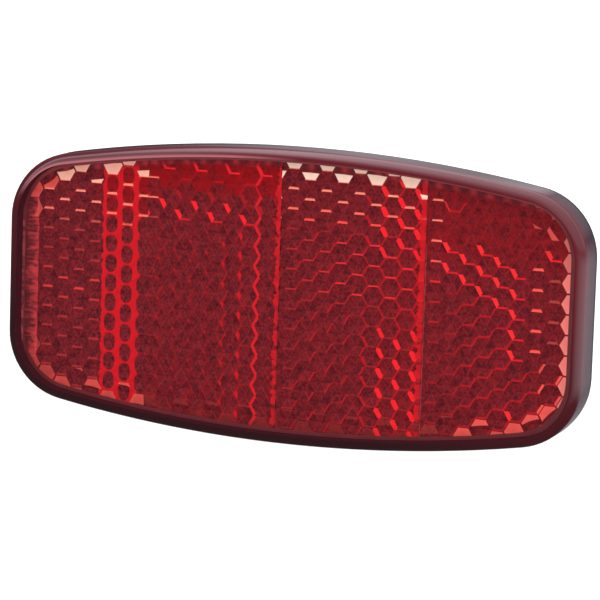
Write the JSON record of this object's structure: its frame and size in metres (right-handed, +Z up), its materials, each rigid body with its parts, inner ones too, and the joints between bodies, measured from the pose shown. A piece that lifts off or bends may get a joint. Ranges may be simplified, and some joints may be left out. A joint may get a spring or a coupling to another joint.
{
  "type": "bicycle rear reflector",
  "caption": "Wide red rear reflector for a bicycle's luggage rack: clear lens with moulded cube corners, black back cover and two studs behind.",
  "frame": {"origin": "midway between the two studs' axes, on the plane of the two bosses' end faces, where the reflector meets the rack's plate", "axes": "+Z up, +Y backward out of the reflector along the studs, +X along the face's width; the lens faces -Y"},
  "size_m": [0.097, 0.0207, 0.047],
  "materials": {
    "clear_red": "polished, see-through red",
    "black_plastic": "fine satin",
    "zinc_steel": "bright zinc plated"
  },
  "bodies": {
    "root": {"lens": "clear_red", "back_cover": "black_plastic", "stud_left": "zinc_steel", "stud_right": "zinc_steel", "washer_left": "zinc_steel", "washer_right": "zinc_steel", "spring_washer_left": "zinc_steel", "spring_washer_right": "zinc_steel", "nut_left": "zinc_steel", "nut_right": "zinc_steel"}
  },
  "joints": []
}
